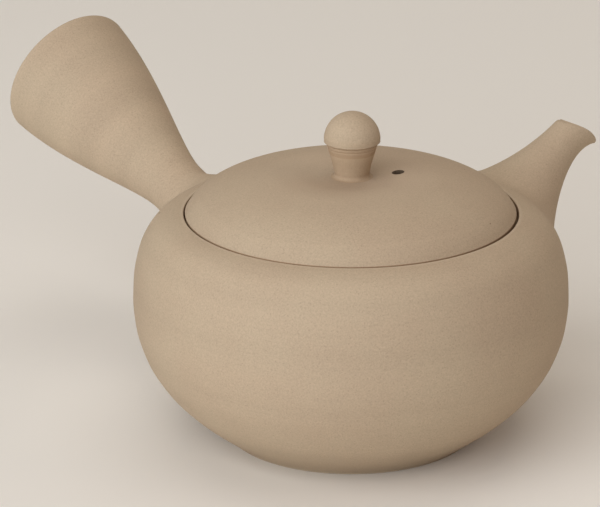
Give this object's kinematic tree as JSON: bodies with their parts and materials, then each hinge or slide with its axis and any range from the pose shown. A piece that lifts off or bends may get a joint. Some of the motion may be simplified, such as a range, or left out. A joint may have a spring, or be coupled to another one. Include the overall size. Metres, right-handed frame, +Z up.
{
  "type": "side-handled teapot",
  "caption": "Low round teapot in unglazed clay with a flared hollow side handle, a short rising spout with a pierced clay strainer behind it, and a loose knobbed lid set in the rim.",
  "frame": {"origin": "centre of the flat foot, on the surface that the pot stands on", "axes": "+Z up, +X the way the spout points, +Y the way the handle points"},
  "size_m": [0.1418, 0.1939, 0.0885],
  "materials": {
    "body_clay": "matte unglazed buff stoneware, fine sandy grain, faint throwing rings",
    "spout_clay": "matte unglazed buff stoneware, hand-smoothed",
    "handle_clay": "matte unglazed buff stoneware, fine throwing rings round its axis",
    "strainer_clay": "matte unglazed buff stoneware, pierced",
    "lid_clay": "matte unglazed buff stoneware, faint turning rings, slightly rosier in its dish",
    "knob_clay": "matte unglazed buff stoneware, two turned lines under the ball"
  },
  "bodies": {
    "pot": {"vessel_body": "body_clay", "spout": "spout_clay", "handle": "handle_clay", "strainer": "strainer_clay"},
    "lid": {"lid": "lid_clay", "lid_knob": "knob_clay"}
  },
  "joints": [
    {"name": "lid_lift", "type": "slide", "parent": "pot", "child": "lid", "axis": [0, 0, 1], "range_m": [0, 0.06]}
  ]
}
